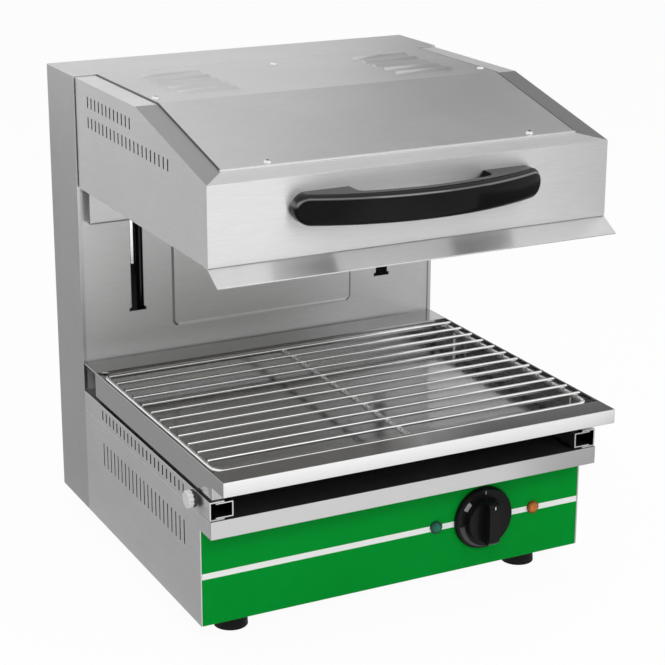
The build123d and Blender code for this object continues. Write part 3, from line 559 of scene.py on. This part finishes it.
def lens_plastic(name, node, dark, light, rim_shade):
    """Tinted moulding, cut into fine facets on its dome, with painted shade darkening it towards its rim."""
    made, tree, shader = new_finish(name, specular_ior_level=0.3)
    skin = place_group(tree, moulded_skin, grain=420.0)
    join(tree, mixed(tree, skin["Pebble"], light, dark), shader.inputs["Base Color"])
    low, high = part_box(node)
    radius = (high.x - low.x) / 2
    away = vector_maths(tree, "SUBTRACT", coordinates(tree, "Object"), (low + high) / 2)
    flat = vector_maths(tree, "MULTIPLY", away, (1, 0, 1))
    reach = add(tree, "ShaderNodeVectorMath", operation="LENGTH")
    join(tree, flat, reach.inputs[0])
    start, end = (share * radius for share in lens_rim_shade)
    edge = add(tree, "ShaderNodeMapRange", {"From Min": start, "From Max": end})
    join(tree, reach.outputs["Value"], edge.inputs["Value"])
    # Painted shade towards the rim of the dome.
    lay_over(made, edge.outputs["Result"], rim_shade)
    join(tree, between(tree, skin["Uneven"], 0.08, 0.2), shader.inputs["Roughness"])
    bump(tree, shader, skin["Pebble"], strength=0.35, distance=0.0006)
    return made


def heat_tinted_steel():
    """Mill-finish steel, straw and blue in patches from the heat."""
    made, tree, shader = new_finish("heat_tinted_steel", metallic=1.0)
    smudge = place_group(tree, handling_marks, scale=16.0)["Smudge"]
    ramp = add(tree, "ShaderNodeValToRGB")
    join(tree, smudge, ramp.inputs["Fac"])
    pale, blue = ramp.color_ramp.elements
    pale.position, pale.color = 0.30, (0.52, 0.51, 0.50, 1)
    blue.position, blue.color = 0.72, (0.30, 0.30, 0.38, 1)
    straw = ramp.color_ramp.elements.new(0.52)
    straw.color = (0.50, 0.43, 0.31, 1)
    join(tree, ramp.outputs["Color"], shader.inputs["Base Color"])
    join(tree, between(tree, smudge, 0.22, 0.42), shader.inputs["Roughness"])
    uneven = place_group(tree, moulded_skin, grain=260.0)["Uneven"]
    bump(tree, shader, uneven, strength=0.06, distance=0.0005)
    return made


def printed_mark(name, dark, light):
    """Printed ink, a little worn."""
    made, tree, shader = new_finish(name)
    smudge = place_group(tree, handling_marks, scale=420.0)["Smudge"]
    join(tree, mixed(tree, smudge, dark, light), shader.inputs["Base Color"])
    join(tree, between(tree, smudge, 0.35, 0.6), shader.inputs["Roughness"])
    return made


finishes = {made.name: made for made in (
    brushed_steel("steel_across", across_y, satin),
    brushed_steel("steel_upright", upright, satin),
    panel_steel(), cover_steel(), rail_steel(), hood_steel(), deck_steel(), pan_steel(),
    plated_wire("plated_wire", grey(0.92), roughness=0.18),
    plated_wire("bright_plating", (0.74, 0.74, 0.75), roughness=0.20),
    plated_wire("zinc_plating", (0.46, 0.46, 0.47), roughness=0.42),
    lock_screw(),
    plated_wire("screw_steel", grey(0.85), roughness=0.24),
    # Guide rods: steel painted dark as shade, for the rods in the dark inside of the column.
    plated_wire("shaded_rod_steel", grey(0.10), roughness=0.34),
    heat_tinted_steel(),
    plated_wire("oxidised_tube", (0.16, 0.145, 0.13), roughness=0.55),
    plated_wire("turned_brass", (0.62, 0.43, 0.15), roughness=0.28),
    plated_wire("milled_aluminium", (0.66, 0.66, 0.67), roughness=0.36),
    moulded_plastic("cast_iron", grey(0.035), grey(0.075), dull=0.85, bright=0.6,
                    grain=320.0, relief=0.6, sheen=0.4),
    handle_black(),
    moulded_plastic("knob_black", grey(0.004), grey(0.008), dull=0.34, bright=0.22,
                    grain=1700.0, relief=0.08, sheen=0.13),
    moulded_plastic("dull_black", (0.014, 0.014, 0.015), (0.028, 0.028, 0.029), dull=0.62, bright=0.45,
                    grain=1200.0, relief=0.2, sheen=0.3),
    moulded_plastic("black_rubber", grey(0.006), grey(0.012), dull=0.82, bright=0.6,
                    grain=700.0, relief=0.25, sheen=0.15),
    green_enamel(),
    lens_plastic("green_lens", "lamp_lens_green", dark=(0.001, 0.080, 0.045), light=(0.008, 0.190, 0.120),
                 rim_shade=(0.0005, 0.035, 0.020)),
    lens_plastic("amber_lens", "lamp_lens_amber", dark=(0.42, 0.105, 0.012), light=(0.68, 0.22, 0.045),
                 rim_shade=(0.16, 0.040, 0.006)),
    printed_mark("white_print", grey(0.56), grey(0.74)),
    printed_mark("pale_print", grey(0.24), grey(0.34)),
    printed_mark("grey_print", (0.030, 0.030, 0.033), (0.052, 0.052, 0.057)),
)}
slot_finish = {
    "stainless": "steel_across", "green_panel": "green_enamel", "wire": "plated_wire",
    "bright_steel": "bright_plating", "reflector_steel": "heat_tinted_steel", "element": "oxidised_tube",
    "black_plastic": "handle_black", "dull_plastic": "dull_black", "lens_green": "green_lens",
    "lens_amber": "amber_lens", "rubber": "black_rubber", "gear_steel": "zinc_plating",
    "block_aluminium": "milled_aluminium", "bush_brass": "turned_brass", "cast_weight": "cast_iron",
}
node_finish = {
    "column_shell": "steel_upright", "back_cover": "steel_upright", "column_front_panel": "panel_steel",
    "hood_shell": "hood_steel", "hood_top_cover": "cover_steel", "cover_screws": "screw_steel",
    "base_deck": "deck_steel", "tray": "pan_steel", "control_knob": "knob_black", "guide_rods": "shaded_rod_steel",
    **{f"{piece}_{side}": finish for side in ("left", "right") for piece, finish in (
        ("rail_outer", "rail_steel"), ("rail_inner", "rail_steel"), ("thumb_screw", "lock_screw"),
        ("lift_arm", "bright_plating"))},
}
slot_rounding = {
    "stainless": sharp_sheet, "green_panel": sharp_sheet, "black_plastic": soft_moulding, "rubber": 0.002,
    "bright_steel": 0.0003, "dull_plastic": 0.0004, "gear_steel": 0.0003, "cast_weight": 0.0015,
}
node_rounding = {"back_cover": 0, "hood_top_cover": 0.0003, "hood_shell": 0.00025}


def dress(piece, finish):
    piece.data.materials.clear()
    piece.data.materials.append(finishes[finish])


def round_edges(piece, width):
    """Rounds a folded or moulded edge, so that it catches the light."""
    weld = piece.modifiers.new("weld", "WELD")
    weld.merge_threshold = weld_gap
    edge = piece.modifiers.new("edge", "BEVEL")
    edge.width = width
    edge.segments = edge_steps
    edge.limit_method = "ANGLE"
    edge.angle_limit = math.radians(edge_angle)
    edge.harden_normals = True


def dress_nodes():
    """Gives each node its own finish and rounding, or else those of its slot."""
    for entry in frame["record"]["subparts"]:
        name, slot = entry["node"], entry["material_slot"]
        dress(nodes[name], node_finish.get(name, slot_finish[slot]))
        width = node_rounding.get(name, slot_rounding.get(slot))
        if width:
            round_edges(nodes[name], width)


# Pieces made here

def new_piece(name, verts, faces, body, finish, slot):
    mesh = bpy.data.meshes.new(name)
    mesh.from_pydata(verts, [], faces)
    mesh.validate()
    piece = bpy.data.objects.new(name, mesh)
    bpy.context.scene.collection.objects.link(piece)
    dress(piece, finish)
    if body:
        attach(piece, body)
    return piece


def stranded_tube(path):
    """Twisted strands along points that lie in one upright plane."""
    verts, faces = [], []
    sides = rope_strands * rope_strand_sides
    across = Vector(across_x)
    run = 0.0
    for i, point in enumerate(path):
        ahead = (path[min(i + 1, len(path) - 1)] - path[max(i - 1, 0)]).normalized()
        out = ahead.cross(across)
        if i:
            run += (point - path[i - 1]).length
        for k in range(sides):
            angle = 2 * math.pi * k / sides
            hollow = rope_strand_depth * (1 - abs(math.cos(rope_strands * angle / 2)))
            turn = angle + 2 * math.pi * run / rope_lay
            spoke = across * math.cos(turn) + out * math.sin(turn)
            verts.append(point + rope_radius * (1 - hollow) * spoke)
    for i in range(len(path) - 1):
        for k in range(sides):
            a, b = i * sides + k, i * sides + (k + 1) % sides
            faces.append((a, b, b + sides, a + sides))
    faces.append(tuple(reversed(range(sides))))
    faces.append(tuple(range((len(path) - 1) * sides, len(path) * sides)))
    return verts, faces


def straight_path(start, end):
    count = max(2, round((end - start).length / rope_step))
    return [start.lerp(end, i / count) for i in range(count + 1)]


def wire_ropes():
    """Each rope in three runs: over the pulley, down to the carriage and down to the counterweight."""
    front_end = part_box("rope_ends_hood")[1].z
    rear_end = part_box("rope_ends_weight")[1].z
    for side in ("left", "right"):
        low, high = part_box("rope_" + side)
        x = (low.x + high.x) / 2
        front, rear = low.y + rope_radius, high.y - rope_radius
        middle, radius = (front + rear) / 2, (rear - front) / 2
        axle_z = high.z - rope_radius - radius
        steps = round(math.pi * radius / rope_step)
        arc = [Vector((x, middle - radius * math.cos(math.pi * i / steps),
                       axle_z + radius * math.sin(math.pi * i / steps))) for i in range(steps + 1)]
        wrap = new_piece(f"rope_{side}_wrap", *stranded_tube(arc), "casing", "zinc_plating", "gear_steel")
        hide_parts("rope_" + side)
        for run, y, end_z, body in (("front", front, front_end, "hood"), ("rear", rear, rear_end, "balance")):
            start, end = Vector((x, y, axle_z)), Vector((x, y, end_z))
            piece = new_piece(f"rope_{side}_{run}", *stranded_tube(straight_path(start, end)), None,
                              "zinc_plating", "gear_steel")
            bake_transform(piece)
            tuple(start)
            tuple(end)


def raised_mark(name, outline, y, finish):
    """Thin printed mark on the knob, from an outline of (x, z) points about the knob's middle."""
    low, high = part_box("control_knob")
    middle = Vector(((low.x + high.x) / 2, 0, (low.z + high.z) / 2))
    front = [middle + Vector((x, y - mark_proud, z)) for x, z in outline]
    rear = [middle + Vector((x, y + mark_proud, z)) for x, z in outline]
    count = len(outline)
    faces = [tuple(range(count)), tuple(reversed(range(count, 2 * count)))]
    faces += [(i, i + count, (i + 1) % count + count, (i + 1) % count) for i in range(count)]
    return new_piece(name, front + rear, faces, "knob", finish, "black_plastic")


def polar(radius, degrees):
    """Point on the knob's face: degrees run to the left from the top."""
    angle = math.radians(degrees)
    return -radius * math.sin(angle), radius * math.cos(angle)


def spread_angles(start, end, steps):
    return [start + (end - start) * i / steps for i in range(steps + 1)]


def knob_marks():
    """Tick, off block and heat wedge on the skirt, and a tick on the grip."""
    low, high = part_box("control_knob")
    skirt_y = high.y - knob_skirt
    for name, tick, y, finish in (("knob_skirt_tick", skirt_tick, skirt_y, "pale_print"),
                                  ("knob_grip_tick", grip_tick, low.y, "white_print")):
        inner, outer, width = tick
        half = width / 2
        raised_mark(name, [(-half, inner), (half, inner), (half, outer), (-half, outer)], y, finish)
    inner, outer, length = off_block
    spread = math.degrees(length / (inner + outer))
    angles = spread_angles(off_angle - spread, off_angle + spread, off_steps)
    block = [polar(outer, a) for a in angles] + [polar(inner, a) for a in reversed(angles)]
    raised_mark("knob_off_block", block, skirt_y, "pale_print")
    angles = spread_angles(heat_arc_start, heat_arc_end, heat_arc_steps)
    wedge = [polar(heat_arc_outer, a) for a in angles]
    for i in reversed(range(heat_arc_steps)):
        wedge.append(polar(heat_arc_outer - heat_arc_width * (1 - i / heat_arc_steps), angles[i]))
    raised_mark("knob_heat_wedge", wedge, skirt_y, "grey_print")


def loose_heads(node):
    """Middle of the top and the axis of every separate solid in a node."""
    mesh = nodes[node].data
    spots = {}
    link = list(range(len(mesh.vertices)))

    def root(i):
        while link[i] != i:
            i = link[i]
        return i

    for vertex in mesh.vertices:
        key = tuple(round(c, 6) for c in vertex.co)
        link[root(vertex.index)] = root(spots.setdefault(key, vertex.index))
    for face in mesh.polygons:
        for other in face.vertices[1:]:
            link[root(other)] = root(face.vertices[0])
    groups = {}
    for face in mesh.polygons:
        groups.setdefault(root(face.vertices[0]), []).append(face)
    for faces in groups.values():
        axis = Vector()
        for face in faces:
            if face.normal.z > 0.5:
                axis += face.normal * face.area
        axis.normalize()
        points = [mesh.vertices[v].co for face in faces for v in face.vertices]
        reach = max(p.dot(axis) for p in points)
        middle = sum(points, Vector()) / len(points)
        yield middle + axis * (reach - middle.dot(axis)), axis


def screw_recess_shade():
    """Dark cross on each screw of the top cover: painted shade standing in for its cross recess."""
    verts, faces = [], []
    half, arm = recess_width / 2, recess_length / 2
    cross = [(-half, -arm), (half, -arm), (half, -half), (arm, -half), (arm, half), (half, half),
             (half, arm), (-half, arm), (-half, half), (-arm, half), (-arm, -half), (-half, -half)]
    quads = ((0, 1, 2, 11), (11, 2, 5, 8), (2, 3, 4, 5), (8, 5, 6, 7), (9, 10, 11, 8))
    for middle, axis in loose_heads("cover_screws"):
        turn = axis.to_track_quat("Z", "Y").to_matrix()
        start = len(verts)
        verts += [middle + turn @ Vector((x, y, recess_proud)) for x, y in cross]
        faces += [tuple(start + i for i in quad) for quad in quads]
    new_piece("cover_screw_recess_shade", verts, faces, "hood", "dull_black", "bright_steel")


# Studio

def bare_tree(owner):
    """Emptied node tree of a material or world."""
    owner.use_nodes = True
    owner.node_tree.nodes.clear()
    return owner.node_tree


def shown_or_soft(tree, share, soft, shown, output):
    """Mixes two shaders, the second for what is seen, and puts them out."""
    mix = add(tree, "ShaderNodeMixShader")
    join(tree, share, mix.inputs[0])
    join(tree, soft.outputs[0], mix.inputs[1])
    join(tree, shown.outputs[0], mix.inputs[2])
    join(tree, mix.outputs[0], add(tree, output).inputs["Surface"])


def seen_or_mirrored(tree):
    """1 for rays from the camera, from a mirror or through glass."""
    path = add(tree, "ShaderNodeLightPath")
    mirrored = maths(tree, "MAXIMUM", path.outputs["Is Glossy Ray"], path.outputs["Is Transmission Ray"])
    return maths(tree, "MAXIMUM", path.outputs["Is Camera Ray"], mirrored)


def world_light():
    """White all round to the eye and to mirrors, softer as light."""
    world = bpy.data.worlds.new("studio")
    bpy.context.scene.world = world
    tree = bare_tree(world)
    soft, shown = (add(tree, "ShaderNodeBackground", {"Color": (1, 1, 1, 1), "Strength": strength})
                   for strength in (world_strength, 1.0))
    shown_or_soft(tree, seen_or_mirrored(tree), soft, shown, "ShaderNodeOutputWorld")


def stage_sheet(name, corners, material):
    mesh = bpy.data.meshes.new(name)
    mesh.from_pydata(corners, [], [(0, 1, 2, 3)])
    made = bpy.data.objects.new(name, mesh)
    bpy.context.scene.collection.objects.link(made)
    made.data.materials.append(material)
    return made


def flat_corners(x, y, z):
    """Corners of a level sheet between two values of x and two of y."""
    return [(x[0], y[0], z), (x[1], y[0], z), (x[1], y[1], z), (x[0], y[1], z)]


def upright_corners(x, y, z):
    """Corners of an upright sheet between two values of x and two of z."""
    return [(x[0], y, z[0]), (x[1], y, z[0]), (x[1], y, z[1]), (x[0], y, z[1])]


def pale_floor():
    """White floor that keeps a faint shadow under the grill."""
    made = bpy.data.materials.new("pale_floor")
    tree = bare_tree(made)
    paint = add(tree, "ShaderNodeBsdfDiffuse", {"Color": (*grey(floor_paint), 1)})
    glow = add(tree, "ShaderNodeEmission", {"Color": (1, 1, 1, 1), "Strength": 1.0})
    share = maths(tree, "MULTIPLY", seen_or_mirrored(tree), floor_glow)
    shown_or_soft(tree, share, paint, glow, "ShaderNodeOutputMaterial")
    reach = (-floor_reach, floor_reach)
    stage_sheet("floor", flat_corners(reach, reach, 0), made)


def flag(name, corners, brightness):
    """Studio flag that shows in the metal and nowhere else: one brightness, or stops across its width."""
    made = bpy.data.materials.new(name)
    tree = bare_tree(made)
    glow = add(tree, "ShaderNodeEmission", {"Color": (1, 1, 1, 1)})
    if isinstance(brightness, tuple):
        brightness = stepped(tree, split(tree, coordinates(tree, "Generated"))["X"], brightness)
    feed(tree, brightness, glow.inputs["Strength"])
    join(tree, glow.outputs[0], add(tree, "ShaderNodeOutputMaterial").inputs["Surface"])
    card = stage_sheet(name, corners, made)
    card.visible_camera = False
    card.visible_diffuse = False
    card.visible_transmission = False
    card.visible_shadow = False


def flags():
    """Three on the floor, one upright behind, one upright in front and a bright one high in front."""
    flag("left_card", flat_corners(x=(-2.8, -0.232), y=(-0.6, 4.0), z=flag_lift), left_flag)
    flag("front_card", flat_corners(x=(-1.0, 2.0), y=(-3.2, -0.66), z=flag_lift), front_flag)
    beside = [(x, y, 2 * flag_lift) for x, y in ((0.24, -0.38), (1.6, -1.6), (2.6, 1.4), (0.24, 1.4))]
    flag("right_card", beside, right_flag)
    flag("rear_card", upright_corners(x=(0.0, 2.4), y=1.5, z=(0.90, 3.2)), rear_flag)
    flag("dark_front", upright_corners(x=(-4.0, 4.0), y=-3.3, z=(0.0, 1.5)), dark_flag)
    aloft = [(0.15, -2.5, 1.0), (1.28, -2.0, 1.0), (1.15, -1.6, 2.5), (0.0, -2.1, 2.5)]
    flag("bright_card", aloft, bright_flag)


def soft_lamps():
    """Square soft lamps that light the grill and don't show in the metal."""
    for name, (place, size, watts) in lamps.items():
        lamp = bpy.data.lights.new(name, "AREA")
        lamp.shape = "SQUARE"
        lamp.size = size
        lamp.energy = watts
        made = bpy.data.objects.new(name, lamp)
        bpy.context.scene.collection.objects.link(made)
        made.location = place
        made.rotation_euler = (Vector(lamp_target) - Vector(place)).to_track_quat("-Z", "Y").to_euler()
        made.visible_glossy = False


def camera():
    made = bpy.data.cameras.new("camera")
    made.lens = camera_lens
    made.shift_x, made.shift_y = camera_shift
    made.clip_end = camera_reach
    holder = bpy.data.objects.new("camera", made)
    bpy.context.scene.collection.objects.link(holder)
    turn, tilt = math.radians(camera_azimuth), math.radians(camera_elevation)
    back = Vector((math.sin(turn) * math.cos(tilt), -math.cos(turn) * math.cos(tilt), math.sin(tilt)))
    holder.rotation_mode = "QUATERNION"
    holder.rotation_quaternion = (-back).to_track_quat("-Z", "Y")
    holder.location = camera_place
    bpy.context.scene.camera = holder


dress_nodes()
wire_ropes()
knob_marks()
screw_recess_shade()
world_light()
pale_floor()
flags()
soft_lamps()
camera()
bpy.context.scene.view_settings.view_transform = "Standard"
